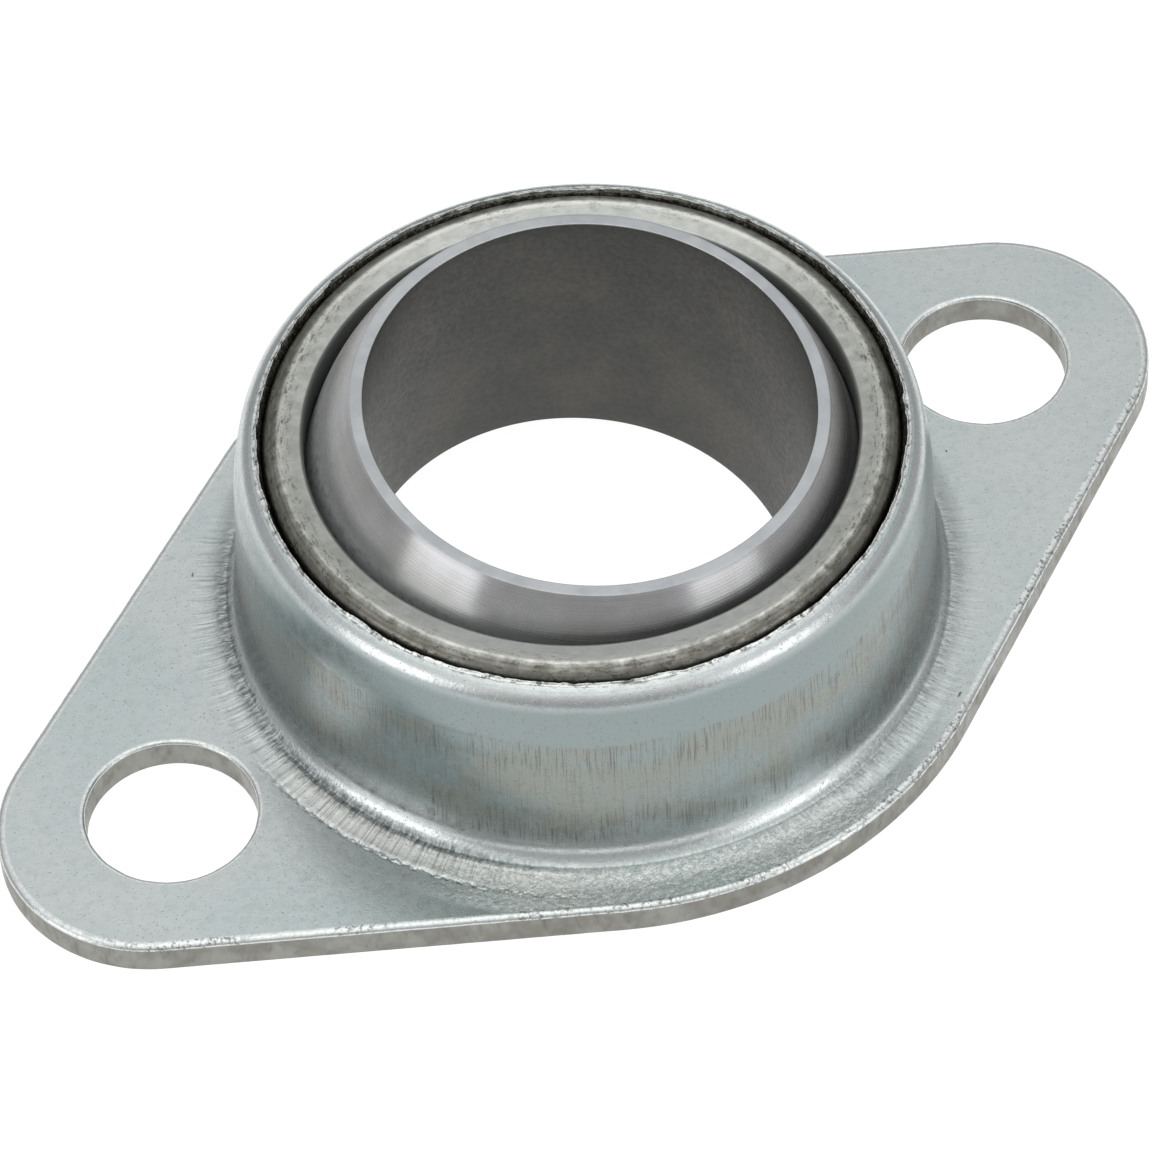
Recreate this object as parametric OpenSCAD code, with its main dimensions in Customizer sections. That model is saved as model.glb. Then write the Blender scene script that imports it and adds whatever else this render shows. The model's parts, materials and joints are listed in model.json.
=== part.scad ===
// Two-bolt flange mount bearing with a self-aligning plain ball.
//
// A pressed plate carries a raised boss, a race is pressed into the boss from the back,
// and a bored ball swivels in the race. Millimetres, +Z up.
// Origin: middle of the two bolt holes, on the flange's back face.
// +X runs through the bolt holes and +Z along the boss.

/* [Flange] */
// Thickness of the flange plate
flange_t = 2; // [1.6:0.1:2.2]
// Width across the round middle of the flange
flange_w = 47.6; // [47:0.2:52]
// Radius of each rounded end of the flange
lobe_r = 9; // [8:0.25:11]
// How far each rounded end's centre lies beyond its bolt hole
lobe_shift = 1; // [0:0.25:2]
// Distance between the two bolt holes
bolt_spacing = 57.15; // [56:0.05:62]
// Diameter of the bolt holes, clear for a 3/8 in bolt
bolt_hole_d = 9.75; // [8.5:0.05:10.5]

/* [Boss] */
// Outer radius of the boss wall where it stands upright, below its shoulder
boss_r = 19.9; // [19.7:0.05:20]
// How far the wall leans outward from there down to its foot
boss_flare = 0.35; // [0:0.05:0.4]
// Height of the turned-in lip above the back face
boss_h = 15.5; // [15.2:0.1:16]
// Angle that the wall has turned inward by at its top corner
crown_a = 12.5; // [8:0.5:13]
// Radius of the top corner
corner_r = 1.4; // [1.2:0.1:1.5]
// Radius at which the lip's torn edge ends
lip_r = 18.3; // [18.15:0.05:18.4]
// Radius of the fillet between boss and flange
boss_fillet = 2; // [1.2:0.1:2.4]
// Radius of the rounded corner where the back face turns up into the boss
back_corner = 2.4; // [1.5:0.1:2.6]

/* [Race] */
// Outer radius of the race, and of its seat in the boss
race_r = 18; // [17.8:0.05:18.1]
// Radius of the opening at each end of the race
race_mouth_r = 15.9; // [15.6:0.05:16]
// Length of the race
race_len = 13; // [12:0.5:14]
// Radius of the race's rounded shoulders
race_round = 0.8; // [0.4:0.1:1]
// Depth of the step between the end face and the shoulder
race_step = 0.15; // [0.05:0.05:0.3]
// Gap between the ball and its seat
seat_gap = 0.06; // [0.03:0.01:0.1]

/* [Ball] */
// Diameter of the bore, a running fit on a 1 in shaft
bore_d = 25.45; // [25.4:0.01:25.6]
// Radius of the ball's spherical surface
ball_r = 16.2; // [16:0.05:16.3]
// Length of the ball along its bore
ball_len = 18.2; // [17:0.1:18.6]
// Chamfer at each end of the bore
bore_chamfer = 0.25; // [0.1:0.05:0.4]
// Height of the ball's centre above the back face
ball_z = 9.3; // [9.2:0.1:9.6]
// Angle between the ball's bore and the boss
ball_tilt = 5; // [0:0.5:10]
// Direction that the bore's upper end leans to, from +X about +Z
ball_lean = -74; // [-180:1:180]

/* [Hidden] */
$fn = 128;
through = 1;                                   // overshoot of every cutter
lobe_x = bolt_spacing / 2 + lobe_shift;
mid_r = flange_w / 2;
tangent_a = acos((mid_r - lobe_r) / lobe_x);   // from +X to the side's normal
upright_z = boss_h * 0.65;                     // height where the boss wall stands upright
foot_r = boss_r + boss_flare;
fillet_r = foot_r + boss_fillet;               // fillet's centre, from the axis
seat_r = ball_r + seat_gap;
race_half = race_len / 2;
face_r = race_r - race_round - race_step;      // outer edge of the race's end face
lip_drop = 0.45;                               // slope of the lip's torn edge
torn_in = lip_r - race_r;                      // and its width

// One end's rounded disc and the two straight sides that run from it to the middle
function on_circle(x, r, a) = [x + r * cos(a), r * sin(a)];

module flange_outline() {
    circle(r = mid_r);
    for (side = [0, 180]) rotate(side) {
        translate([lobe_x, 0]) circle(r = lobe_r);
        polygon([on_circle(lobe_x, lobe_r, tangent_a), on_circle(0, mid_r, tangent_a),
            on_circle(0, mid_r, -tangent_a), on_circle(lobe_x, lobe_r, -tangent_a)]);
    }
}

// Above upright_z the wall bends in along a wide arc, and a small one rounds its corner
corner_top_z = boss_h - corner_r * (1 - sin(crown_a));
crown_r = (corner_top_z - upright_z) / sin(crown_a);
crown_in = crown_r * (1 - cos(crown_a));
corner_at = [boss_r - crown_in - corner_r * cos(crown_a), boss_h - corner_r];

module boss_section() {
    seat_in = race_r - through;
    difference() {
        union() {
            polygon([[seat_in, 0], [fillet_r, 0], [fillet_r, flange_t],
                [foot_r, flange_t + boss_fillet], [boss_r, upright_z],
                [boss_r - crown_in, corner_top_z], corner_at, [corner_at[0], boss_h],
                [seat_in, boss_h]]);
            intersection() {
                translate([boss_r - crown_r, upright_z]) circle(r = crown_r);
                translate([seat_in, upright_z]) square([crown_r, corner_top_z - upright_z]);
            }
            intersection() {
                translate(corner_at) circle(r = corner_r);
                translate(corner_at) square(corner_r);
            }
        }
        translate([fillet_r, flange_t + boss_fillet]) circle(r = boss_fillet);
        square([race_r, boss_h + through]);
        // torn edge of the lip, which slopes down to the seat
        polygon([[seat_in, boss_h - lip_drop * (1 + through / torn_in)],
            [lip_r, boss_h], [lip_r, boss_h + through], [seat_in, boss_h + through]]);
        back_corner_cut();
    }
}

// Takes the sharp corner off the back opening
module back_corner_cut() {
    difference() {
        translate([race_r - through, -through]) square(back_corner + through);
        translate([race_r + back_corner, back_corner]) circle(r = back_corner);
    }
}

module flange_housing() {
    color("#b7bfbd") difference() {
        union() {
            linear_extrude(flange_t) difference() {
                flange_outline();
                circle(r = foot_r);
            }
            rotate_extrude() boss_section();
        }
        for (x = [-1, 1] * bolt_spacing / 2) translate([x, 0, -through])
            cylinder(d = bolt_hole_d, h = flange_t + 2 * through);
    }
}

module race_end_section() {
    polygon([[race_mouth_r, 0], [race_r, 0], [race_r, race_half - race_step - race_round],
        [face_r + race_step, race_half - race_step - race_round],
        [face_r + race_step, race_half - race_step], [face_r, race_half - race_step],
        [face_r, race_half], [race_mouth_r, race_half]]);
    intersection() {
        translate([race_r - race_round, race_half - race_step - race_round])
            circle(r = race_round);
        translate([race_r - race_round, 0]) square([race_round, race_half]);
    }
}

module outer_race() {
    color("#b5b3a8") translate([0, 0, ball_z]) rotate_extrude() difference() {
        for (end = [0, 1]) mirror([0, end]) race_end_section();
        circle(r = seat_r);
    }
}

module bored_ball() {
    end_z = ball_len / 2;
    color("#8d9196") translate([0, 0, ball_z]) rotate([0, 0, ball_lean]) rotate([0, ball_tilt, 0])
        rotate_extrude() difference() {
            intersection() {
                circle(r = ball_r);
                translate([bore_d / 2, -end_z]) square([ball_r, ball_len]);
            }
            for (end = [0, 1]) mirror([0, end]) translate([bore_d / 2, end_z])
                polygon([[-through, through], [bore_chamfer + through, through],
                    [-through, -bore_chamfer - through]]);
        }
}

flange_housing();
outer_race();
bored_ball();
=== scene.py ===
"""Looks of the flange mount bearing: plated pressed housing, plated race, turned steel ball."""
import json
import math

import bmesh
import bpy
import numpy as np
from mathutils import Matrix, Vector
from mathutils.geometry import delaunay_2d_cdt
from mathutils.noise import noise as perlin


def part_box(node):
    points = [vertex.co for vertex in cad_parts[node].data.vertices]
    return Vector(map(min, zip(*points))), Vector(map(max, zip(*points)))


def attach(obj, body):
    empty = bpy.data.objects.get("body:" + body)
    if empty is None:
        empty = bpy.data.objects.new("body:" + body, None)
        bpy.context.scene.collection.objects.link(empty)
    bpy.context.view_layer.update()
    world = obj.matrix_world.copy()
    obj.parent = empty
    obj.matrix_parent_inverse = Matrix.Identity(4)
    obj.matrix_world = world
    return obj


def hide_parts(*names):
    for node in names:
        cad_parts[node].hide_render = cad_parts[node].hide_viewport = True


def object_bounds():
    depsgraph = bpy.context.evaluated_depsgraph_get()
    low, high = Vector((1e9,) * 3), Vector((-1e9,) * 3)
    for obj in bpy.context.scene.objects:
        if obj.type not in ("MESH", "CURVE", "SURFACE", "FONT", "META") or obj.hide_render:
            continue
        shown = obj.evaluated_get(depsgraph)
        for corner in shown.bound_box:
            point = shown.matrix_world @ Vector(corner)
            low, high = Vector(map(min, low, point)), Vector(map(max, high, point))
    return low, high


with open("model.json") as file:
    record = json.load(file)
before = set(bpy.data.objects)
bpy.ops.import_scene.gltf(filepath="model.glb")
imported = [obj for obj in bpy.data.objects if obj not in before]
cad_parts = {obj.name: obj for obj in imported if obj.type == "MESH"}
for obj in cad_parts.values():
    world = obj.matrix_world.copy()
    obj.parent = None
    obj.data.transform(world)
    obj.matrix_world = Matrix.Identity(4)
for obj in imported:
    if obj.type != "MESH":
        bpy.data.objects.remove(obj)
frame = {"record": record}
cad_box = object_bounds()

MM = 0.001

# ---------------------------------------------------------------- sizes from the frame, in millimetres
mounts = {mount["name"]: mount for mount in frame["record"]["mounts"]}
housing_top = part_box("flange_housing")[1] / MM
race_low, race_top = [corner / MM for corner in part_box("outer_race")]

MID_R = housing_top.y                                   # round middle of the flange
LIP_Z = housing_top.z                                   # top of the boss
HOLE_X = mounts["flange_bolts"]["dims"]["spacing_x_mm"] / 2
HOLE_R = mounts["flange_bolts"]["dims"]["hole_r_mm"]
RACE_R = race_top.x                                     # also the boss's seat
RACE_HALF = (race_top.z - race_low.z) / 2
BALL_Z = (race_top.z + race_low.z) / 2
BORE_R = mounts["shaft_bore"]["dims"]["r_mm"]
BALL_TURN = Vector((0, 0, 1)).rotation_difference(Vector(mounts["shaft_bore"]["axis"]))

# ---------------------------------------------------------------- other sizes of the part
FLANGE_T = 2.0
LOBE_R = 9.0                    # each rounded end
LOBE_X = housing_top.x - LOBE_R
DIE_ROLL = (0.38, 0.28)         # rolled top edge of a punched outline: inward, downward
HOLE_ROLL = (0.20, 0.18)
BURR = 0.08                     # small break of the bottom edges
RIM = 0.10                      # flat strip beside a punched edge
ROLLED_DENTS = 0.045
SHEARED_DENTS = 0.02

WALL_R = 19.9                   # outside of the boss where it stands upright
UPRIGHT_Z = 10.1
CROWN_LEAN = math.radians(12.5)
CORNER_R = 1.4
LIP_R = 18.32                   # the lip's torn edge
RIDGES_R = 18.9                 # the lip's ridges end here and the smooth corner begins
FOOT_R = 20.25
FILLET = (1.4, 3.45)            # radius of the fillet at the boss's foot, and its centre's height
FILLET_END = math.radians(238)  # the fillet stops short of flat, in the crease round the boss
CREASE = [(0.05, -0.025), (0.11, -0.035), (0.17, -0.03), (0.24, -0.01), (0.33, 0.005), (0.46, 0.0)]
FLUTED_R = 22.75                # ragged outer edge of the fluted ring outside the crease
APRON_R = 23.1                  # the flat top of the flange begins here
BACK_CORNER = 2.4
DRAWN_Z = 11.8                  # below this the die has scraped the boss wall
SEAT_TOP = 14.30                # height where the seat meets the torn slope under the lip

BALL_R = 16.2
BALL_HALF = 9.1
SEAT_GAP = 0.06
TURNING_PITCH = 0.20            # lathe grooves of the ball
RACE_MOUTH_R = 15.9
SEAT_END_R = 15.66              # the mouth rounds in to here, where the seat begins
CREST_R = 17.1                  # soft ridge round the race's face
RIDGE = [(-0.20, -0.02), (-0.12, -0.004), (-0.04, 0.0), (0.04, -0.015), (0.12, -0.05), (0.22, -0.105),
         (0.32, -0.16)]
DISH = 0.14                     # the face inside the ridge slopes in by this much
RACE_STEP = 0.15
RACE_ROUND = 0.8

# Sides of the boss, each as its direction, and how far from it the side has faded out and is still full,
# in degrees. The press marks round the foot are strongest on the first two.
LEFT_MARKS = (-180, 56, 28)
RIGHT_MARKS = (-56, 46, 20)
PALE_MARKS = (-152, 32, 15)     # pale, ragged flutes
BRIGHT_FOOT = (-112, 42, 18)    # crystalline patch between them
# On these two sides the race's face is painted darker, mottled: painted shade
SHADED_FACE_LEFT = (150, 62, 25)       # the race's face is mottled here
SHADED_FACE_RIGHT = (-35, 62, 20)

# Bands of the housing, each as the radii or heights where it starts, is full, fades and ends
FLUTE_BAND = (21.05, 21.3, 22.45, 22.75)
CREASE_BAND = (20.7, 20.9, 21.15, 21.3)
EDGE_BAND = (22.3, 22.7, 22.8, 22.95)
SCRAPED_BAND = (3.5, 5.5, DRAWN_Z - 0.2, DRAWN_Z + 0.2)
WALL_BAND = (3.0, 6.0, 12, 14)

FLUTE_DEPTH = 0.030
CREASE_DEPTH = 0.05
EDGE_DEPTH = 0.16               # how far the ring's outer edge wanders
SCRAPE_DEPTH = 0.02
WALL_WAVE = 0.035

AROUND = 2880                   # steps round the housing and its lip
RACE_AROUND = 1440
BALL_AROUND = 900


# ---------------------------------------------------------------- profiles
def arc(centre, radius, start, end, steps):
    """Points of an arc in a (radius, height) profile, start and end in radians."""
    angles = np.linspace(start, end, steps)
    return np.c_[centre[0] + radius * np.cos(angles), centre[1] + radius * np.sin(angles)]


def line(start, end, steps):
    """Points from start up to, but without, end."""
    t = np.linspace(0, 1, steps, endpoint=False)[:, None]
    return (1 - t) * np.array(start) + t * np.array(end)


def smooth(x, low, high):
    """0 below low, 1 above high, smooth between."""
    t = np.clip((np.asarray(x, float) - low) / (high - low), 0, 1)
    return t * t * (3 - 2 * t)


def band(x, start, full, fade, end):
    """1 from full to fade, and 0 outside start..end."""
    return smooth(x, start, full) * (1 - smooth(x, fade, end))


def ring_noise(steps, cycles, seed, octaves=1):
    """Noise round a full turn with about that many bumps, from -1 to 1."""
    angles = np.linspace(0, 2 * math.pi, steps, endpoint=False)
    out = np.zeros(steps)
    for octave in range(octaves):
        reach = cycles * 2 ** octave / (2 * math.pi)
        level = seed + 7.3 * octave
        values = [perlin(Vector((reach * math.cos(a), reach * math.sin(a), level))) for a in angles]
        out += 0.5 ** octave * np.array(values)
    return out


def circle(steps):
    """Cosines and sines of evenly spaced directions round a full turn."""
    angles = np.linspace(0, 2 * math.pi, steps, endpoint=False)
    return np.cos(angles), np.sin(angles)


def facing_ring(steps, side):
    """1 round the given side of the full turn, fading to 0 away from it."""
    middle, wide, narrow = np.radians(side)
    angles = np.linspace(0, 2 * math.pi, steps, endpoint=False)
    return smooth(np.cos(angles - middle), math.cos(wide), math.cos(narrow))


def spin(profile, steps, push=0.0, lift=0.0):
    """Points of the (radius, height) profile turned about +Z, each moved by its own push and lift."""
    x, y = circle(steps)
    radius = np.repeat(profile[:, :1], steps, axis=1) + push
    height = np.repeat(profile[:, 1:], steps, axis=1) + lift
    return np.stack([radius * x, radius * y, height], axis=2)


# ---------------------------------------------------------------- meshes
def tidy(mesh, reach=1e-6):
    """Welds the seams between a piece's patches and points its faces outward."""
    work = bmesh.new()
    work.from_mesh(mesh)
    bmesh.ops.remove_doubles(work, verts=work.verts, dist=reach)
    bmesh.ops.recalc_face_normals(work, faces=work.faces)
    work.to_mesh(mesh)
    work.free()


def inside(points, loop):
    """Which of the flat points lie inside a closed loop."""
    result = np.zeros(len(points), bool)
    for (x0, y0), (x1, y1) in zip(loop, np.roll(loop, -1, axis=0)):
        crosses = (y0 > points[:, 1]) != (y1 > points[:, 1])
        if crosses.any():
            cut = x0 + (x1 - x0) * (points[:, 1] - y0) / (y1 - y0 + 1e-30)
            result ^= crosses & (points[:, 0] < cut)
    return result


class Patches:
    """Collects the grids and fills of one piece."""

    def __init__(self):
        self.verts, self.faces, self.slots, self.curved = [], [], [], []

    def grid(self, points, slots, closed=False):
        """Quads over points[row][column], whose columns run round a full turn; a slot per row of quads."""
        rows, columns = points.shape[:2]
        base = len(self.verts)
        self.verts.extend(points.reshape(-1, 3))
        quad_rows = rows if closed else rows - 1
        for i in range(quad_rows):
            here, there = base + i * columns, base + (i + 1) % rows * columns
            for j in range(columns):
                k = (j + 1) % columns
                self.faces.append((here + j, here + k, there + k, there + j))
        self.slots.extend(np.repeat(slots, columns) if np.ndim(slots) else [slots] * (quad_rows * columns))
        self.curved.extend([True] * (quad_rows * columns))

    def flat(self, loops, height, slot=0):
        """Fills between an outer loop and the loops inside it, at one height."""
        points, edges = [], []
        for loop in loops:
            first = len(points)
            points.extend(Vector((p[0], p[1])) for p in loop)
            edges.extend((first + i, first + (i + 1) % len(loop)) for i in range(len(loop)))
        verts, _, faces, *_ = delaunay_2d_cdt(points, edges, [], 1, 1e-7)
        flat = np.array([(v.x, v.y) for v in verts])
        middles = np.array([flat[list(face)].mean(axis=0) for face in faces])
        kept = inside(middles, loops[0])
        for loop in loops[1:]:
            kept &= ~inside(middles, loop)
        base = len(self.verts)
        self.verts.extend(np.array([x, y, height]) for x, y in flat)
        self.faces.extend(tuple(base + i for i in face) for face, keep in zip(faces, kept) if keep)
        self.slots.extend([slot] * int(kept.sum()))
        self.curved.extend([False] * int(kept.sum()))

    def build(self, name, materials):
        """A mesh object of everything collected, in metres, smooth except for its flat fills."""
        mesh = bpy.data.meshes.new(name)
        mesh.from_pydata([tuple(v) for v in np.asarray(self.verts) * MM], [], self.faces)
        for material in materials:
            mesh.materials.append(material)
        mesh.polygons.foreach_set("material_index", np.array(self.slots, np.int32))
        mesh.polygons.foreach_set("use_smooth", self.curved)
        tidy(mesh)
        made = bpy.data.objects.new(name, mesh)
        bpy.context.scene.collection.objects.link(made)
        return made


# ---------------------------------------------------------------- punched outlines
def outline(inset, per_arc=72, per_side=60):
    """The flange's outline moved inward: two end arcs and two middle arcs joined by tangents."""
    lean = math.acos((MID_R - LOBE_R) / LOBE_X)
    lobe, mid = LOBE_R - inset, MID_R - inset
    points = []
    for turn in (0, math.pi):
        spot = np.array([LOBE_X * math.cos(turn), 0])

        def on(centre, radius, angle):
            return centre + radius * np.array([math.cos(angle + turn), math.sin(angle + turn)])

        points += [on(spot, lobe, a) for a in np.linspace(-lean, lean, per_arc)]
        points += list(line(points[-1], on(np.zeros(2), mid, lean), per_side))[1:]
        points += [on(np.zeros(2), mid, a) for a in np.linspace(lean, math.pi - lean, per_arc)]
        points += list(line(points[-1], on(spot * -1, lobe, math.pi - lean), per_side))[1:]
    return np.array(points)


def hole(x, grow, steps=160):
    """The edge of the bolt hole at x, made wider all round."""
    cos, sin = circle(steps)
    return np.c_[x + (HOLE_R + grow) * cos, (HOLE_R + grow) * sin]


SKIN, SHEARED, BRIGHT, TORN, ROLLED = range(5)     # the housing's material slots


def edge_rings(roll):
    """(inset, height, slot of the quads up to it) of the rings down a punched edge, from top to back."""
    rings = [(RIM + roll[0], FLANGE_T, ROLLED)]
    rings += [(roll[0] * (1 - math.sin(a)), FLANGE_T - roll[1] * (1 - math.cos(a)), ROLLED)
              for a in np.linspace(0, math.pi / 2, 9)]
    rings += [(0.0, z, SHEARED) for z in np.linspace(FLANGE_T - roll[1], BURR, 10)[1:]]
    return rings + [(BURR, 0.0, SHEARED), (RIM + roll[0], 0.0, SKIN)]


def punched_edge(patches, loop_at, roll, seed, centre_x=0.0, inward=False):
    """The rolled top edge, the sheared wall and the back edge along one loop."""
    rings = edge_rings(roll)
    rows = []
    for inset, height, _ in rings:
        loop = loop_at(inset)
        rows.append(np.c_[loop, np.full(len(loop), height)])
    rows = np.array(rows)
    for i in range(1, len(rings) - 1):
        deep = ROLLED_DENTS if rings[i][2] == ROLLED else SHEARED_DENTS
        for j in range(rows.shape[1]):
            x, y, z = rows[i, j]
            uneven = perlin(Vector((x * 1.3, y * 1.3, z * 1.1 + seed)))
            uneven += 0.6 * perlin(Vector((x * 4.1, y * 4.1, z * 3 + seed + 5)))
            away = np.array([x - centre_x, y])
            away *= (-1 if inward else 1) / np.linalg.norm(away)
            rows[i, j, :2] -= away * deep * max(0.0, 0.5 + 0.5 * uneven)
    patches.grid(rows, [slot for _, _, slot in rings[1:]])


# ---------------------------------------------------------------- housing
def corner_centre():
    """Radius of the crown's wide arc, and the centre of the boss's top corner."""
    crown_top = LIP_Z - CORNER_R * (1 - math.sin(CROWN_LEAN))
    crown_r = (crown_top - UPRIGHT_Z) / math.sin(CROWN_LEAN)
    inset = crown_r * (1 - math.cos(CROWN_LEAN))
    return crown_r, (WALL_R - inset - CORNER_R * math.cos(CROWN_LEAN), LIP_Z - CORNER_R)


def boss_outside():
    """Profile from the lip's ridges over the corner, down the wall and out along the fluted ring."""
    crown_r, corner = corner_centre()
    start = math.acos((RIDGES_R - corner[0]) / CORNER_R)
    fillet = (FOOT_R + FILLET[0], FILLET[1])
    foot = arc(fillet, FILLET[0], math.pi, FILLET_END, 22)
    crease = np.array(CREASE) + foot[-1]
    crest_r, crest_z = crease[-1]
    ring_r = np.linspace(crest_r, FLUTED_R - 0.12, 14)[1:]
    ring_z = crest_z + (FLANGE_T + 0.05 - crest_z) * smooth(ring_r, crest_r - 0.5, FLUTED_R)
    edge = [(FLUTED_R, FLANGE_T + 0.02), (FLUTED_R + 0.06, FLANGE_T - 0.005), (FLUTED_R + 0.14, FLANGE_T),
            (APRON_R - 0.05, FLANGE_T), (APRON_R, FLANGE_T)]
    return np.vstack([
        arc(corner, CORNER_R, start, CROWN_LEAN, 14)[:-1],
        arc((WALL_R - crown_r, UPRIGHT_Z), crown_r, CROWN_LEAN, 0, 30)[:-1],
        line((WALL_R, UPRIGHT_Z), (FOOT_R, fillet[1]), 24),
        foot, crease, np.c_[ring_r, ring_z], edge])


def sheet_marks(profile):
    """Push and lift of every point: the scraped wall, and the flutes where the sheet was drawn in."""
    flutes = ring_noise(AROUND, 420, 3.1) + 0.4 * ring_noise(AROUND, 900, 5.2)
    gather = 0.75 + 0.7 * ring_noise(AROUND, 23, 9.4, 2)
    ragged = ring_noise(AROUND, 330, 13.3, 2) + 0.5 * ring_noise(AROUND, 60, 14.1, 2)
    slow = ring_noise(AROUND, 5, 21.0, 2)
    r, z = profile[:, :1], profile[:, 1:]
    pale = facing_ring(AROUND, PALE_MARKS)
    marked = np.maximum(0.85 * facing_ring(AROUND, LEFT_MARKS), 0.4 * facing_ring(AROUND, RIGHT_MARKS))
    marked = np.maximum(marked, pale) * (0.9 + 0.3 * slow)

    on_foot = z < 3
    fluted = FLUTE_DEPTH * band(r, *FLUTE_BAND) * on_foot * flutes * gather
    creased = CREASE_DEPTH * band(r, *CREASE_BAND) * on_foot * ragged
    foot_end = FILLET[1] + FILLET[0] * math.sin(FILLET_END)
    plain = FLANGE_T + (foot_end - FLANGE_T) * (1 - smooth(r, 20.6, 22.4))
    run_out = (plain - z) * smooth(r, 20.9, 20.96) * on_foot * (r < APRON_R - 0.02)
    lift = (fluted + creased) * marked + run_out * (1 - pale)

    push = WALL_WAVE * band(z, *WALL_BAND) * slow - SCRAPE_DEPTH * band(z, *SCRAPED_BAND)
    push = push + EDGE_DEPTH * band(r, *EDGE_BAND) * on_foot * ragged
    return push, lift


def lip_rows():
    """(radius, height, slot of the quads up to it) of the torn lip's rings, from the seat to the corner."""
    _, corner = corner_centre()
    chips = ring_noise(AROUND, 60, 1.7, 4)
    flakes = ring_noise(AROUND, 260, 8.8, 3)
    fine = ring_noise(AROUND, 760, 15.5)
    bites = smooth(ring_noise(AROUND, 40, 4.2, 2), 0.02, 0.12)
    slow = 0.6 + 0.6 * ring_noise(AROUND, 11, 27.0)

    def ridge(radius, lift, slot=BRIGHT):
        return radius, corner[1] + np.sqrt(CORNER_R ** 2 - (radius - corner[0]) ** 2) + lift, slot

    flat = 0 * chips
    edge = LIP_R - 0.08 * chips - 0.06 * bites
    top = LIP_Z + 0.03 + 0.06 * flakes
    return [
        (RACE_R + flat, SEAT_TOP + flat, SKIN),
        (18.12 + flat, SEAT_TOP + 0.10 + flat, TORN),
        (18.12 + 0.02 * fine, 14.62 + flat, TORN),
        (18.08 + 0.02 * flakes, 14.78 + 0.02 * fine, TORN),
        (18.12 + 0.03 * flakes, 14.95 + 0.03 * fine, TORN),
        (edge - 0.13 + 0.03 * flakes, 15.12 + 0.03 * fine, TORN),
        (edge - 0.07 + 0.03 * fine, 15.26 + 0.03 * flakes, TORN),
        (edge - 0.02 + 0.015 * flakes, top - 0.10, BRIGHT),
        (edge, top - 0.02, BRIGHT),
        (edge + 0.025, top, BRIGHT),
        (edge + 0.055, top - 0.03 + 0.02 * fine, BRIGHT),
        ridge(edge + 0.10 + 0.01 * fine, -0.01 + 0.03 * flakes),
        ridge(18.48 + 0.03 * chips, -0.06 - 0.02 * fine),
        ridge(18.54 + 0.03 * chips, 0.01 + 0.02 * flakes),
        ridge(18.60 + 0.03 * chips, -0.035 * slow + 0.015 * fine),
        ridge(18.68 + 0.03 * chips, 0.005 + 0.01 * flakes, SKIN),
        ridge(18.78 + 0.02 * chips, -0.012 * slow, SKIN),
    ]


def build_housing(materials):
    """The pressed housing: lip, boss and foot in one grid, the back of the boss, the edges and the flats."""
    patches = Patches()
    x, y = circle(AROUND)
    outside = boss_outside()
    push, lift = sheet_marks(outside)
    rows = lip_rows()
    lip = np.array([np.c_[r * x, r * y, z] for r, z, _ in rows])
    slots = [slot for _, _, slot in rows[1:]] + [SKIN] * len(outside)
    patches.grid(np.concatenate([lip, spin(outside, AROUND, push, lift)]), slots)
    back_r = RACE_R + BACK_CORNER
    inner = np.vstack([line((RACE_R, SEAT_TOP), (RACE_R, BACK_CORNER), 8),
                       arc((back_r, BACK_CORNER), BACK_CORNER, math.pi, 1.5 * math.pi, 16),
                       [(back_r + RIM, 0.0)]])
    patches.grid(spin(inner, AROUND), SKIN)
    punched_edge(patches, outline, DIE_ROLL, 2.0)
    for hole_x in (-HOLE_X, HOLE_X):
        punched_edge(patches, lambda inset: hole(hole_x, inset), HOLE_ROLL, hole_x, hole_x, inward=True)
    holes = [hole(hole_x, RIM + HOLE_ROLL[0]) for hole_x in (-HOLE_X, HOLE_X)]
    rim = outline(RIM + DIE_ROLL[0])
    patches.flat([rim, np.c_[x, y] * APRON_R, *holes], FLANGE_T)
    patches.flat([rim, np.c_[x, y] * (back_r + RIM), *holes], 0.0)
    return patches.build("pressed_housing", materials)


# ---------------------------------------------------------------- race and ball
def race_end():
    """Profile of the race's upper half, from the seat's rim over the face to the outside."""
    seat_r = BALL_R + SEAT_GAP
    seat_end = math.acos(SEAT_END_R / seat_r)
    inner_z = RACE_HALF - DISH
    turn = np.linspace(0, math.pi / 2, 9)
    round_in = RACE_MOUTH_R - SEAT_END_R
    low = inner_z - 1.2 * round_in
    mouth = np.c_[RACE_MOUTH_R - round_in * np.cos(turn), low + (inner_z - low) * np.sin(turn)]
    shoulder = (RACE_R - RACE_ROUND, RACE_HALF - RACE_STEP - RACE_ROUND)
    return np.vstack([
        arc((0, 0), seat_r, 0, seat_end, 12)[:-1],
        line((SEAT_END_R, seat_r * math.sin(seat_end)), (SEAT_END_R, low), 5),
        mouth,
        line((RACE_MOUTH_R + 0.06, inner_z + 0.004), (CREST_R - 0.25, RACE_HALF - 0.030), 12),
        np.array(RIDGE) + [CREST_R, RACE_HALF],
        arc(shoulder, RACE_ROUND, math.pi / 2 - 0.36, 0, 16),
    ])


def build_race(material):
    """The race, with a little wear on the outer part of its upper face."""
    upper = race_end()
    lower = upper[::-1] * [1, -1]
    profile = np.vstack([lower[:-1], upper]) + [0, BALL_Z]
    wave = ring_noise(RACE_AROUND, 24, 31.0, 3)
    dents = ring_noise(RACE_AROUND, 230, 35.0, 2)
    top = smooth(profile[:, 1:], BALL_Z + RACE_HALF - 0.6, BALL_Z + RACE_HALF - 0.1)
    worn = top * smooth(profile[:, :1], CREST_R - 0.3, CREST_R)
    patches = Patches()
    patches.grid(spin(profile, RACE_AROUND, lift=worn * (0.018 * wave + 0.012 * dents)), 0, closed=True)
    return patches.build("plated_race", [material])


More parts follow.
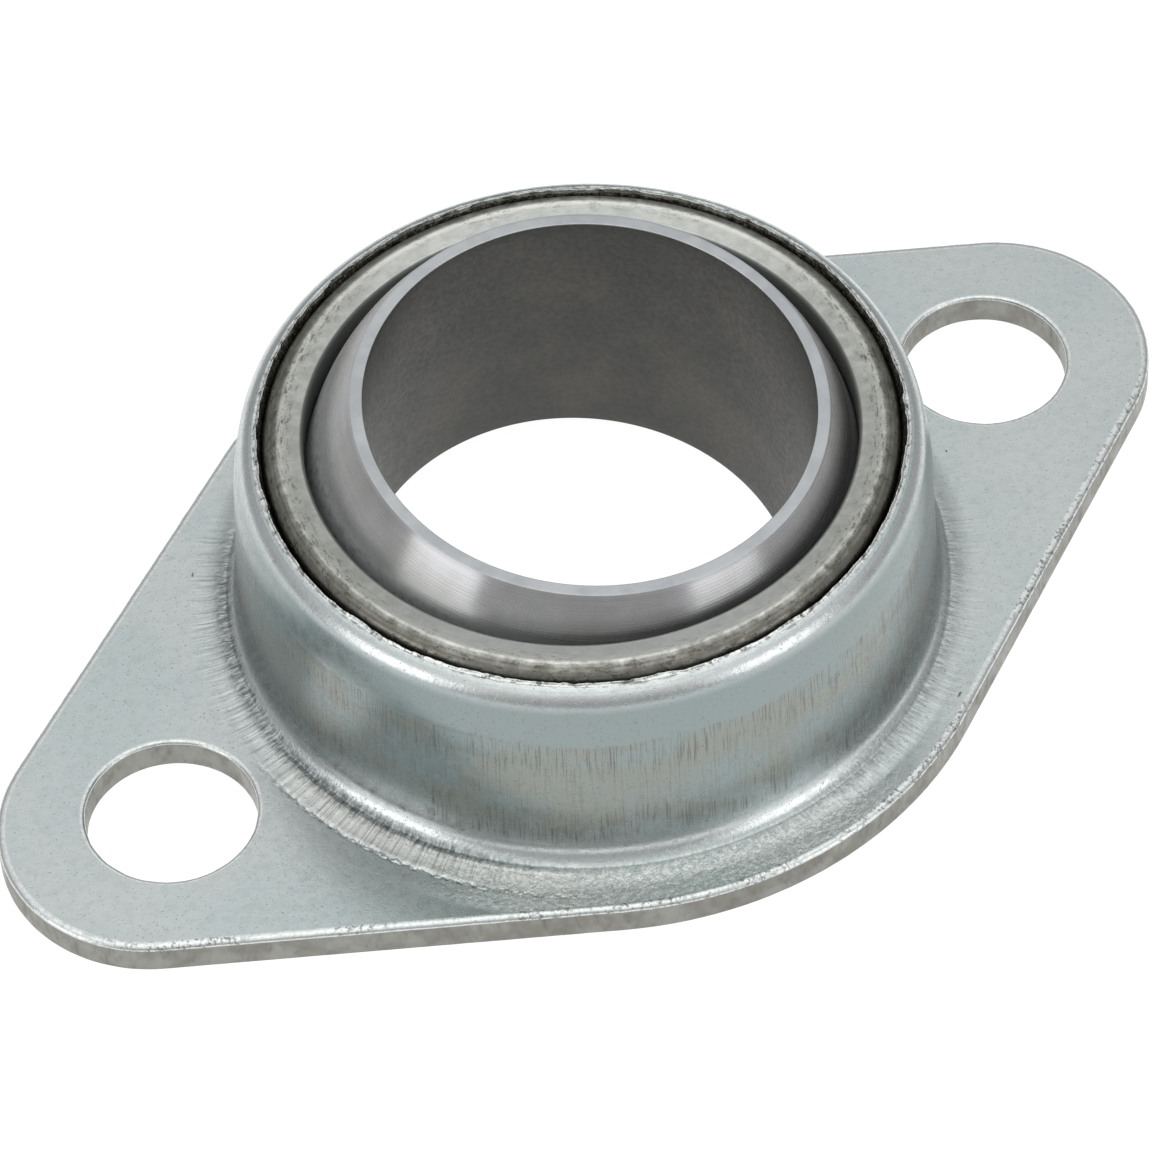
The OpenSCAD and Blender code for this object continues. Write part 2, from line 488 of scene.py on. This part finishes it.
def ball_profile():
    """Half the ball's section, from the bore over the end face to the equator."""
    chamfer, edge = 0.05, 0.03
    face_r = math.sqrt(BALL_R ** 2 - BALL_HALF ** 2) + 0.05
    rim = math.acos((face_r + 0.01) / BALL_R)
    return np.vstack([
        line((BORE_R, 0), (BORE_R, BALL_HALF - chamfer), 10),
        arc((BORE_R + chamfer, BALL_HALF - chamfer), chamfer, math.pi, math.pi / 2, 7),
        line((BORE_R + chamfer + 0.02, BALL_HALF), (face_r - edge, BALL_HALF), 4),
        arc((face_r - edge, BALL_HALF - edge), edge, math.pi / 2, rim, 5),
        arc((0, 0), BALL_R, rim, 0, 150)[1:],
    ])


BAND, BORED, FACED = range(3)                      # the ball's material slots


def build_ball(materials):
    """The ball, already leaning as it rests."""
    upper = ball_profile()
    profile = np.vstack([upper, upper[::-1][1:-1] * [1, -1]])
    bored = profile[:, 0] < BORE_R + 0.001
    faced = (np.abs(profile[:, 1]) > BALL_HALF - 0.06) & ~bored
    slots = np.where(faced & np.roll(faced, -1), FACED, BAND)
    slots = np.where(bored & np.roll(bored, -1), BORED, slots)
    points = spin(profile, BALL_AROUND) @ np.array(BALL_TURN.to_matrix()).T + [0, 0, BALL_Z]
    patches = Patches()
    patches.grid(points, slots, closed=True)
    return patches.build("turned_ball", materials)


# ---------------------------------------------------------------- material nodes
def node(tree, kind, inputs=None, **settings):
    """A shader node with its settings, and its inputs set to values or linked to sockets."""
    made = tree.nodes.new(kind)
    for key, value in settings.items():
        setattr(made, key, value)
    for key, value in (inputs or {}).items():
        if isinstance(value, bpy.types.NodeSocket):
            tree.links.new(value, made.inputs[key])
        else:
            made.inputs[key].default_value = value
    return made


def calc(tree, operation, a, b=0.0):
    """One step of arithmetic on sockets or numbers."""
    return node(tree, "ShaderNodeMath", {0: a, 1: b}, operation=operation).outputs[0]


def times(tree, first, *others):
    """The product of them all."""
    for other in others:
        first = calc(tree, "MULTIPLY", first, other)
    return first


def ramp(tree, value, low, high, to_low=0.0, to_high=1.0):
    """Maps low..high onto to_low..to_high, smoothly and clamped."""
    made = node(tree, "ShaderNodeMapRange", {0: value, 1: low, 2: high, 3: to_low, 4: to_high},
                interpolation_type="SMOOTHSTEP")
    return made.outputs[0]


def between(tree, value, start, full, fade, end):
    """1 from full to fade, and 0 outside start..end."""
    return times(tree, ramp(tree, value, start, full), ramp(tree, value, end, fade))


def blend(tree, factor, a, b):
    """Colour a at factor 0, b at 1."""
    return node(tree, "ShaderNodeMix", {0: factor, 6: a, 7: b}, data_type="RGBA").outputs[2]


def grain(tree, vector, scale, detail, rough):
    """Noise, about 0.5 in the middle of its range."""
    inputs = {"Vector": vector, "Scale": scale, "Detail": detail, "Roughness": rough}
    return node(tree, "ShaderNodeTexNoise", inputs).outputs["Fac"]


def bump(tree, height, distance_mm, normal=None):
    """A normal that a relief of that depth gives, on top of another one or on its own."""
    inputs = {"Height": height, "Distance": distance_mm * MM, "Strength": 1.0}
    if normal is not None:
        inputs["Normal"] = normal
    return node(tree, "ShaderNodeBump", inputs).outputs[0]


def metal(name, turned=False):
    """A new metallic material, its tree, its shader, and its place in millimetres.

    Turned means that the place is measured from the ball's centre, with its bore along +Z."""
    made = bpy.data.materials.new(name)
    made.use_nodes = True
    tree = made.node_tree
    shader = tree.nodes["Principled BSDF"]
    shader.inputs["Metallic"].default_value = 1.0
    place = node(tree, "ShaderNodeTexCoord").outputs["Object"]
    place = node(tree, "ShaderNodeVectorMath", {0: place, 3: 1 / MM}, operation="SCALE").outputs[0]
    if turned:
        axis, angle = BALL_TURN.to_axis_angle()
        centre = (0, 0, BALL_Z)
        place = node(tree, "ShaderNodeVectorMath", {0: place, 1: centre}, operation="SUBTRACT").outputs[0]
        turn = {"Vector": place, "Axis": axis, "Angle": -angle}
        place = node(tree, "ShaderNodeVectorRotate", turn).outputs[0]
    return made, tree, shader, place


def polar(tree, place):
    """The direction away from the axis, the distance from it, and the height."""
    parts = node(tree, "ShaderNodeSeparateXYZ", {0: place}).outputs
    level = node(tree, "ShaderNodeCombineXYZ", {0: parts[0], 1: parts[1]}).outputs[0]
    away = node(tree, "ShaderNodeVectorMath", {0: level}, operation="LENGTH").outputs["Value"]
    aim = node(tree, "ShaderNodeVectorMath", {0: level}, operation="NORMALIZE").outputs[0]
    return aim, away, parts[2]


def streaked(tree, place, around, along, out=0.0):
    """Coordinates for noise that is the finer round the axis, along it or outward, the larger each factor."""
    aim, away, height = polar(tree, place)
    aim = node(tree, "ShaderNodeVectorMath", {0: aim, 3: around}, operation="SCALE").outputs[0]
    aim = node(tree, "ShaderNodeSeparateXYZ", {0: aim}).outputs
    third = calc(tree, "ADD", times(tree, height, along), times(tree, away, out))
    return node(tree, "ShaderNodeCombineXYZ", {0: aim[0], 1: aim[1], 2: third}).outputs[0]


def facing(tree, place, side):
    """1 round the given side of the boss, fading to 0 away from it."""
    middle, wide, narrow = [math.radians(angle) for angle in side]
    aim, _, _ = polar(tree, place)
    toward = (math.cos(middle), math.sin(middle), 0)
    dot = node(tree, "ShaderNodeVectorMath", {0: aim, 1: toward}, operation="DOT_PRODUCT").outputs["Value"]
    return ramp(tree, dot, math.cos(wide), math.cos(narrow))


def ringed(tree, away, scale, detail, rough):
    """Noise in fine circles about the axis."""
    outward = node(tree, "ShaderNodeCombineXYZ", {0: times(tree, away, scale)}).outputs[0]
    return grain(tree, outward, 1.0, detail, rough)


def highest(tree, first, *others):
    """The highest of them all."""
    for other in others:
        first = calc(tree, "MAXIMUM", first, other)
    return first


def waver(tree, value, noise, width):
    """The value moved up and down by noise over that width."""
    return calc(tree, "ADD", value, times(tree, calc(tree, "SUBTRACT", noise, 0.5), width))


def finish_metal(tree, shader, colour, roughness, normal):
    """Links a metal's colour, roughness and normal to its shader."""
    tree.links.new(colour, shader.inputs["Base Color"])
    tree.links.new(roughness, shader.inputs["Roughness"])
    tree.links.new(normal, shader.inputs["Normal"])


# ---------------------------------------------------------------- materials
COOL_ZINC = (0.470, 0.535, 0.535, 1)
PALE_ZINC = (0.53, 0.562, 0.568, 1)
# painted highlight: the lighter zinc painted on the boss's top corner and the fillet at its foot
HIGHLIGHT_ZINC = (0.66, 0.69, 0.685, 1)
DRAWN_ZINC = (0.262, 0.312, 0.308, 1)
SCRAPED_ZINC = (0.290, 0.300, 0.272, 1)
DULL_ZINC = (0.33, 0.365, 0.36, 1)
SPECK = (0.22, 0.23, 0.215, 1)
PIT = (0.18, 0.19, 0.18, 1)
SCRATCH = (0.13, 0.125, 0.110, 1)
PALE_FLUTE = (0.58, 0.585, 0.56, 1)
DARK_FLUTE = (0.12, 0.125, 0.12, 1)
CRYSTAL = (0.68, 0.70, 0.685, 1)
# painted shade in the crease round the boss's foot, also the dark line along the fluted ring's torn rim
FOOT_SHADE_AND_RIM = (0.07, 0.075, 0.075, 1)


def foot_marks(tree, place, away, height, crust):
    """The press marks round the boss's foot: painted shade in dashes along its crease, and flutes outside it.
    """
    radial_at = streaked(tree, place, 135.0, 0.0)
    dashed_at = streaked(tree, place, 120.0, 0.0, 1.6)
    pale = facing(tree, place, PALE_MARKS)
    marked = highest(tree, times(tree, facing(tree, place, LEFT_MARKS), 0.9),
                     times(tree, facing(tree, place, RIGHT_MARKS), 0.45), 0.2)
    on_top = between(tree, height, 0.6, 1.2, 2.8, 3.4)
    crease = between(tree, waver(tree, away, crust, 0.6), 20.55, 20.9, 21.2, 21.9)
    ring = between(tree, away, 21.0, 21.4, 22.4, 22.8)
    combed_to = waver(tree, away, grain(tree, radial_at, 0.6, 2.0, 0.6), 2.4)
    beyond = between(tree, combed_to, 20.9, 21.3, 21.6, 23.2)
    jagged = waver(tree, away, grain(tree, place, 2.2, 3.0, 0.7), 0.7)
    torn_rim = times(tree, between(tree, jagged, 22.68, 22.76, 22.82, 22.90), pale)
    dashes = grain(tree, dashed_at, 1.0, 3.0, 0.65)
    flutes = grain(tree, radial_at, 1.0, 3.0, 0.6)
    # painted shade: dark dashes along the crease
    darkened = times(tree, ramp(tree, dashes, 0.40, 0.60, 0.30, 1.0), crease, on_top, marked)
    pale_ring = times(tree, ring, pale)
    combed = times(tree, ramp(tree, flutes, 0.49, 0.63), on_top, marked)
    bright = between(tree, away, 20.7, 21.2, 23.6, 24.4)
    return {
        "on_top": on_top,
        "pale": times(tree, pale_ring, on_top),
        "sparkle": times(tree, bright, on_top, facing(tree, place, BRIGHT_FOOT)),
        "combed": times(tree, combed, highest(tree, times(tree, beyond, 0.75), times(tree, pale_ring, 0.8))),
        "darkened": highest(tree, darkened, times(tree, torn_rim, 0.8)),
        "flutes": times(tree, flutes, highest(tree, pale_ring, times(tree, beyond, on_top, 0.7)), marked),
        "dashes": times(tree, dashes, crease, marked),
    }


def wall_marks(tree, place, height, on_boss):
    """The boss wall: duller where it was drawn, and scraped in uneven bands of upright scratches."""
    patches = grain(tree, streaked(tree, place, 4.0, 0.35), 1.0, 3.0, 0.6)
    lines = grain(tree, streaked(tree, place, 230.0, 0.36), 1.0, 3.0, 0.62)
    wavy = waver(tree, height, patches, 1.6)
    scraped = between(tree, wavy, 3.4, 5.4, DRAWN_Z - 0.25, DRAWN_Z + 0.1)
    upper = between(tree, wavy, 8.2, 10.2, DRAWN_Z - 0.2, DRAWN_Z + 0.1)
    lower = between(tree, wavy, 3.4, 4.2, 6.0, 7.2)
    rows = highest(tree, times(tree, upper, ramp(tree, patches, 0.25, 0.45, 0.4, 1.0)),
                   times(tree, lower, ramp(tree, patches, 0.38, 0.50)), times(tree, scraped, 0.40))
    return {
        "drawn": times(tree, between(tree, height, 3.2, 6.0, 14.0, 15.0), on_boss, 0.94),
        "scraped": times(tree, scraped, on_boss, ramp(tree, patches, 0.36, 0.60, 0.0, 0.8)),
        "scratched": times(tree, ramp(tree, lines, 0.50, 0.64), rows, on_boss),
        "lines": times(tree, lines, scraped, on_boss),
    }


def zinc_skin():
    """Zinc plate: pale blue-green grey, duller and scraped on the boss wall, painted highlights on its corner
    and foot, painted shade in the crease.
    """
    made, tree, shader, place = metal("zinc_plate")
    _, away, height = polar(tree, place)
    clouds = grain(tree, place, 0.10, 4.0, 0.55)
    mottle = grain(tree, place, 1.5, 4.0, 0.6)
    specks = ramp(tree, grain(tree, place, 2.4, 4.0, 0.7), 0.59, 0.72)
    pits = ramp(tree, grain(tree, place, 6.5, 2.0, 0.55), 0.62, 0.74)
    crust = grain(tree, place, 3.4, 4.0, 0.7)
    on_boss = ramp(tree, away, 20.9, 20.5)
    # painted highlight on a band round the top corner and on the fillet at the boss's foot
    painted_highlight = times(tree, highest(tree, between(tree, height, 14.5, 14.9, 15.1, 15.35),
                                 ramp(tree, height, 4.2, 3.1)), on_boss)
    corner = times(tree, between(tree, height, 13.8, 14.8, 15.3, 15.5), on_boss)
    wall = wall_marks(tree, place, height, on_boss)
    foot = foot_marks(tree, place, away, height, crust)

    colour = blend(tree, ramp(tree, clouds, 0.35, 0.65), COOL_ZINC, PALE_ZINC)
    # painted highlight on the top corner and the fillet
    colour = blend(tree, times(tree, painted_highlight, 0.75), colour, HIGHLIGHT_ZINC)
    colour = blend(tree, wall["drawn"], colour, DRAWN_ZINC)
    colour = blend(tree, wall["scraped"], colour, SCRAPED_ZINC)
    colour = blend(tree, times(tree, ramp(tree, mottle, 0.45, 0.70), 0.16), colour, DULL_ZINC)
    colour = blend(tree, times(tree, specks, 0.34), colour, SPECK)
    colour = blend(tree, times(tree, pits, 0.45), colour, PIT)
    colour = blend(tree, times(tree, wall["scratched"], 0.62), colour, SCRATCH)
    colour = blend(tree, times(tree, foot["pale"], 0.7), colour, PALE_FLUTE)
    colour = blend(tree, times(tree, foot["sparkle"], ramp(tree, crust, 0.42, 0.60)), colour, CRYSTAL)
    colour = blend(tree, times(tree, foot["combed"], 0.60), colour, DARK_FLUTE)
    # painted shade in the crease, and the dark line along the fluted ring's torn rim
    colour = blend(tree, times(tree, foot["darkened"], 0.85), colour, FOOT_SHADE_AND_RIM)

    normal = bump(tree, mottle, 0.010)
    crusty = highest(tree, corner, times(tree, foot["on_top"], on_boss))
    normal = bump(tree, times(tree, crust, crusty), 0.016, normal)
    normal = bump(tree, times(tree, crust, foot["sparkle"]), 0.07, normal)
    normal = bump(tree, pits, -0.008, normal)
    normal = bump(tree, wall["lines"], 0.010, normal)
    normal = bump(tree, foot["flutes"], 0.045, normal)
    normal = bump(tree, foot["dashes"], 0.06, normal)
    finish_metal(tree, shader, colour, ramp(tree, mottle, 0.3, 0.7, 0.22, 0.32), normal)
    return made


def sheared_edge():
    """Punched wall: brown-grey, dull, with short vertical tears."""
    made, tree, shader, place = metal("sheared_edge")
    stretch = (2.0, 2.0, 0.8)
    upright = node(tree, "ShaderNodeVectorMath", {0: place, 1: stretch}, operation="MULTIPLY").outputs[0]
    tears = grain(tree, upright, 1.0, 4.0, 0.6)
    patch = grain(tree, place, 0.5, 4.0, 0.6)
    brown, grey, dark = (0.220, 0.216, 0.192, 1), (0.305, 0.305, 0.284, 1), (0.13, 0.125, 0.105, 1)
    colour = blend(tree, ramp(tree, patch, 0.35, 0.65), brown, grey)
    colour = blend(tree, times(tree, ramp(tree, tears, 0.52, 0.72), 0.35), colour, dark)
    finish_metal(tree, shader, colour, ramp(tree, tears, 0.3, 0.7, 0.34, 0.50), bump(tree, tears, 0.03))
    return made


def bright_tear():
    """The lip's fresh edge: bright and crinkled, with folds that run along it."""
    made, tree, shader, place = metal("bright_tear")
    _, away, _ = polar(tree, place)
    folds = grain(tree, streaked(tree, place, 26.0, 3.0, 7.0), 1.0, 3.0, 0.6)
    flakes = grain(tree, place, 3.6, 4.0, 0.7)
    rough = calc(tree, "ADD", times(tree, folds, 0.6), times(tree, flakes, 0.4))
    bright, shaded, plated = (0.66, 0.685, 0.675, 1), (0.20, 0.205, 0.19, 1), (0.47, 0.52, 0.515, 1)
    colour = blend(tree, ramp(tree, rough, 0.50, 0.60), bright, shaded)
    colour = blend(tree, ramp(tree, away, LIP_R + 0.10, LIP_R + 0.30, 0.0, 0.6), colour, plated)
    finish_metal(tree, shader, colour, ramp(tree, flakes, 0.3, 0.7, 0.18, 0.32), bump(tree, rough, 0.05))
    return made


def shaded_torn_slope():
    """The torn slope under the lip's edge: dull and pitted, painted brown-black as the shade of the groove it
    lines.
    """
    made, tree, shader, place = metal("shaded_torn_slope")
    pits = grain(tree, place, 4.0, 4.0, 0.7)
    groove_shade, brown = (0.05, 0.047, 0.038, 1), (0.26, 0.25, 0.215, 1)
    # the black is painted shade in the groove under the lip, the brown the pitted metal
    colour = blend(tree, ramp(tree, pits, 0.42, 0.64), groove_shade, brown)
    finish_metal(tree, shader, colour, ramp(tree, pits, 0.3, 0.7, 0.60, 0.42), bump(tree, pits, 0.10))
    return made


def rolled_zinc():
    """The punched edges' rolled rim: rubbed zinc with a painted highlight, and crusty pits along the flange's
    -Y side.
    """
    made, tree, shader, place = metal("rolled_zinc")
    crust = grain(tree, place, 4.2, 4.0, 0.7)
    side = ramp(tree, node(tree, "ShaderNodeSeparateXYZ", {0: place}).outputs[1], -3.0, -9.0)
    where = times(tree, ramp(tree, grain(tree, place, 0.25, 2.0, 0.5), 0.42, 0.56), side)
    painted_highlight, plated, darkened = (0.66, 0.695, 0.69, 1), (0.50, 0.54, 0.535, 1), (0.12, 0.12, 0.105, 1)
    # the lighter tone along the rim is painted highlight, over rubbed zinc
    colour = blend(tree, ramp(tree, crust, 0.40, 0.75), painted_highlight, plated)
    colour = blend(tree, times(tree, ramp(tree, crust, 0.50, 0.60), where, 0.7), colour, darkened)
    finish_metal(tree, shader, colour, ramp(tree, crust, 0.3, 0.7, 0.20, 0.34), bump(tree, crust, 0.018))
    return made


def race_marks(tree, place, away, mottle):
    """The worn outer part of the race's face, its soft crest with a painted highlight, painted shade on two
    sides, and the pits that run round it.
    """
    fine = grain(tree, place, 8.0, 3.0, 0.65)
    long = grain(tree, streaked(tree, place, 26.0, 2.5, 6.0), 1.0, 3.0, 0.65)
    pits = ramp(tree, calc(tree, "ADD", times(tree, fine, 0.35), times(tree, long, 0.65)), 0.51, 0.61)
    patches = ramp(tree, grain(tree, streaked(tree, place, 18.0, 0.3), 0.25, 3.0, 0.6), 0.40, 0.60)
    uneven = waver(tree, away, mottle, 0.45)
    outer = ramp(tree, uneven, 17.0, 17.5)
    # painted shade, mottled, on the face's two sides
    worn = highest(tree, facing(tree, place, SHADED_FACE_LEFT), facing(tree, place, SHADED_FACE_RIGHT))
    worn = times(tree, worn, ramp(tree, mottle, 0.30, 0.60, 0.5, 1.0))
    spread = times(tree, highest(tree, times(tree, patches, 0.5), worn), ramp(tree, uneven, 16.0, 16.8))
    return {
        "outer": outer,
        # painted highlight along the ridge's crest
        "crest_highlight": between(tree, uneven, 16.65, 16.9, 17.0, 17.25),
        "worn": worn,
        "dirt": times(tree, pits, highest(tree, outer, spread)),
    }


def race_zinc():
    """Race plating: smooth and pale inside the ridge with a painted highlight on it, brown-grey and pitted
    outside it, where painted shade darkens it.
    """
    made, tree, shader, place = metal("race_zinc")
    _, away, _ = polar(tree, place)
    mottle = grain(tree, place, 1.3, 4.0, 0.6)
    circles = ringed(tree, away, 7.0, 3.0, 0.6)
    mouth = ramp(tree, away, 15.88, 15.70)
    marks = race_marks(tree, place, away, mottle)
    outer = marks["outer"]

    pale, grey, crest_highlight = (0.50, 0.515, 0.495, 1), (0.44, 0.455, 0.435, 1), (0.64, 0.645, 0.60, 1)
    worn, brown, groove = (0.29, 0.295, 0.27, 1), (0.165, 0.16, 0.138, 1), (0.11, 0.11, 0.095, 1)
    dirt, shaded = (0.085, 0.085, 0.07, 1), (0.19, 0.20, 0.19, 1)
    colour = blend(tree, ramp(tree, mottle, 0.35, 0.65), pale, grey)
    # painted highlight along the crest
    colour = blend(tree, times(tree, marks["crest_highlight"], 0.7), colour, crest_highlight)
    # painted shade on the face's two sides
    colour = blend(tree, times(tree, marks["worn"], 0.55), colour, worn)
    # painted shade: the outer part beside the lip is painted dark brown, over its pits
    colour = blend(tree, times(tree, outer, ramp(tree, mottle, 0.3, 0.7, 0.75, 1.0)), colour, brown)
    colour = blend(tree, times(tree, ramp(tree, circles, 0.46, 0.60), outer, 0.5), colour, groove)
    colour = blend(tree, times(tree, marks["dirt"], 0.75), colour, dirt)
    colour = blend(tree, times(tree, mouth, 0.6), colour, shaded)
    roughness = calc(tree, "ADD", ramp(tree, mottle, 0.3, 0.7, 0.26, 0.36), times(tree, mouth, 0.15))
    tree.links.new(ramp(tree, away, 15.85, 15.60, 1.0, 0.6), shader.inputs["Metallic"])
    normal = bump(tree, mottle, 0.015)
    normal = bump(tree, times(tree, circles, outer), 0.015, normal)
    normal = bump(tree, marks["dirt"], -0.010, normal)
    finish_metal(tree, shader, colour, roughness, normal)
    return made


def turned_band():
    """Ball surface: grey steel with fine lathe grooves round its axis, darkened with painted shade towards
    the race.
    """
    made, tree, shader, place = metal("turned_steel", turned=True)
    _, _, height = polar(tree, place)
    end = calc(tree, "ABSOLUTE", height)
    along = times(tree, calc(tree, "ARCSINE", times(tree, height, 1 / BALL_R)), BALL_R)
    parts = node(tree, "ShaderNodeSeparateXYZ", {0: streaked(tree, place, 1.5, 1.0)}).outputs
    spots = {0: parts[0], 1: parts[1], 2: times(tree, along, 10.0)}
    uneven = grain(tree, node(tree, "ShaderNodeCombineXYZ", spots).outputs[0], 1.0, 2.0, 0.5)
    turns = calc(tree, "SINE", times(tree, along, 2 * math.pi / TURNING_PITCH))
    grooves = calc(tree, "ADD", times(tree, turns, 0.35), times(tree, uneven, 0.25))
    axis = node(tree, "ShaderNodeVectorTransform", {0: BALL_TURN @ Vector((0, 0, 1))},
                vector_type="VECTOR", convert_from="OBJECT", convert_to="WORLD").outputs[0]
    tree.links.new(axis, shader.inputs["Tangent"])          # the grooves spread the sheen along the axis
    shader.inputs["Anisotropic"].default_value = 0.88
    smudge = grain(tree, place, 0.30, 3.0, 0.6)
    dirt = times(tree, ramp(tree, grain(tree, place, 2.5, 4.0, 0.7), 0.46, 0.64), ramp(tree, end, 6.9, 5.2))
    low = ramp(tree, end, 7.0, 5.6)

    steel, smudged = (0.455, 0.455, 0.465, 1), (0.40, 0.405, 0.395, 1)
    race_shade, darkened = (0.30, 0.33, 0.335, 1), (0.17, 0.175, 0.165, 1)
    colour = blend(tree, ramp(tree, smudge, 0.38, 0.66), steel, smudged)
    # painted shade: the band darkens towards the race, where it sinks into the gap
    colour = blend(tree, times(tree, low, 0.5), colour, race_shade)
    colour = blend(tree, times(tree, dirt, 0.6), colour, darkened)
    tree.links.new(ramp(tree, end, 6.9, 5.4, 1.0, 0.60), shader.inputs["Metallic"])
    roughness = calc(tree, "ADD", ramp(tree, uneven, 0.3, 0.7, 0.24, 0.29), times(tree, low, 0.14))
    finish_metal(tree, shader, colour, roughness, bump(tree, grooves, 0.0022))
    return made


def bore_steel():
    """Inside of the bore: dark grey, dull, with faint smears."""
    made, tree, shader, place = metal("bore_steel", turned=True)
    smears = grain(tree, place, 0.16, 4.0, 0.6)
    fine = grain(tree, place, 3.0, 3.0, 0.6)
    dark, smeared = (0.084, 0.083, 0.078, 1), (0.108, 0.105, 0.096, 1)
    colour = blend(tree, ramp(tree, smears, 0.35, 0.7), dark, smeared)
    finish_metal(tree, shader, colour, ramp(tree, fine, 0.3, 0.7, 0.42, 0.52), bump(tree, fine, 0.008))
    return made


def face_steel():
    """The ball's end faces: pale, fine turned steel."""
    made, tree, shader, place = metal("face_steel", turned=True)
    _, away, _ = polar(tree, place)
    turning = ringed(tree, away, 14.0, 2.0, 0.5)
    cloud = grain(tree, place, 0.5, 3.0, 0.6)
    dark, pale = (0.385, 0.405, 0.425, 1), (0.455, 0.475, 0.49, 1)
    colour = blend(tree, ramp(tree, cloud, 0.35, 0.65), dark, pale)
    finish_metal(tree, shader, colour, ramp(tree, turning, 0.3, 0.7, 0.26, 0.36), bump(tree, turning, 0.004))
    return made


# ---------------------------------------------------------------- stage
CAM_TARGET = Vector((-3.49, -4.12, 9.0)) * MM
CAM_DISTANCE = 363.3 * MM
CAM_AZIMUTH = math.radians(-122.42)
CAM_ELEVATION = math.radians(50.68)
CAM_ROLL = math.radians(2.86)
CAM_LENS = 201.4


def direction(azimuth, elevation):
    """A vector of length 1 that way, with angles in radians."""
    flat = math.cos(elevation)
    return Vector((flat * math.cos(azimuth), flat * math.sin(azimuth), math.sin(elevation)))


def show(made):
    """Puts a new object in the scene."""
    bpy.context.scene.collection.objects.link(made)
    return made


def add_camera():
    """A long lens from above the front, rolled a little."""
    data = bpy.data.cameras.new("camera")
    data.lens = CAM_LENS
    data.sensor_width = 36.0
    data.clip_start = 0.01
    made = show(bpy.data.objects.new("camera", data))
    aim = -direction(CAM_AZIMUTH, CAM_ELEVATION)
    upright = aim.to_track_quat("-Z", "Y").to_matrix().to_4x4()
    roll = Matrix.Rotation(-CAM_ROLL, 4, "Z")
    made.matrix_world = Matrix.Translation(CAM_TARGET - aim * CAM_DISTANCE) @ upright @ roll
    bpy.context.scene.camera = made


def add_softbox(name, turn, elevation, distance, size, brightness):
    """A soft light, turned by so many degrees from the camera's side."""
    data = bpy.data.lights.new(name, "AREA")
    data.shape = "RECTANGLE"
    data.size, data.size_y = size
    data.energy = brightness * math.pi * size[0] * size[1]
    made = show(bpy.data.objects.new(name, data))
    away = direction(CAM_AZIMUTH + math.radians(turn), math.radians(elevation))
    made.location = away * distance
    made.rotation_euler = (-away).to_track_quat("-Z", "Y").to_euler()
    made.visible_camera = False


def add_world():
    """Soft studio tent: brightest overhead, mid grey at the horizon."""
    world = bpy.data.worlds.new("studio")
    bpy.context.scene.world = world
    world.use_nodes = True
    tree = world.node_tree
    aim = node(tree, "ShaderNodeTexCoord").outputs["Generated"]
    up = node(tree, "ShaderNodeSeparateXYZ", {0: aim}).outputs[2]
    level = calc(tree, "POWER", calc(tree, "MAXIMUM", up, 0.0), 3.0)
    horizon, overhead = (0.42, 0.42, 0.425, 1), (1.62, 1.62, 1.60, 1)
    colour = blend(tree, level, horizon, overhead)
    tree.links.new(colour, tree.nodes["Background"].inputs["Color"])


def floor_paper():
    """Pale light table: a soft glow of its own that fades away from the object."""
    made = bpy.data.materials.new("pale_floor")
    made.use_nodes = True
    tree = made.node_tree
    shader = tree.nodes["Principled BSDF"]
    place = node(tree, "ShaderNodeTexCoord").outputs["Object"]
    away = node(tree, "ShaderNodeVectorMath", {0: place}, operation="LENGTH").outputs["Value"]
    near, far = (0.95, 0.95, 0.95, 1), (0.33, 0.33, 0.33, 1)
    glow = blend(tree, ramp(tree, away, 0.060, 0.20), near, far)
    tree.links.new(glow, shader.inputs["Emission Color"])
    shader.inputs["Emission Strength"].default_value = 1.0
    shader.inputs["Base Color"].default_value = (0.18, 0.18, 0.18, 1)
    shader.inputs["Roughness"].default_value = 0.9
    shader.inputs["Specular IOR Level"].default_value = 0.1
    return made


def add_floor(reach=2.5):
    """A level sheet just under the object's lowest point."""
    mesh = bpy.data.meshes.new("floor")
    corners = [(-reach, -reach, 0), (reach, -reach, 0), (reach, reach, 0), (-reach, reach, 0)]
    mesh.from_pydata(corners, [], [(0, 1, 2, 3)])
    mesh.materials.append(floor_paper())
    made = show(bpy.data.objects.new("floor", mesh))
    made.location.z = cad_box[0][2] - 0.05 * MM


# ---------------------------------------------------------------- the object
def install(piece, body, cad_node):
    """Rides the piece on its body in the place of its CAD node."""
    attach(piece, body)
    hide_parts(cad_node)


bpy.context.scene.view_settings.view_transform = "Standard"
add_camera()
add_world()
add_softbox("left_box", -57, 17, 0.55, (0.295, 0.35), 1.65)
add_softbox("right_box", 52, 17, 0.55, (0.275, 0.35), 1.5)
add_floor()
housing = build_housing([zinc_skin(), sheared_edge(), bright_tear(), shaded_torn_slope(), rolled_zinc()])
install(housing, "housing", "flange_housing")
install(build_race(race_zinc()), "housing", "outer_race")
install(build_ball([turned_band(), bore_steel(), face_steel()]), "ball", "bored_ball")
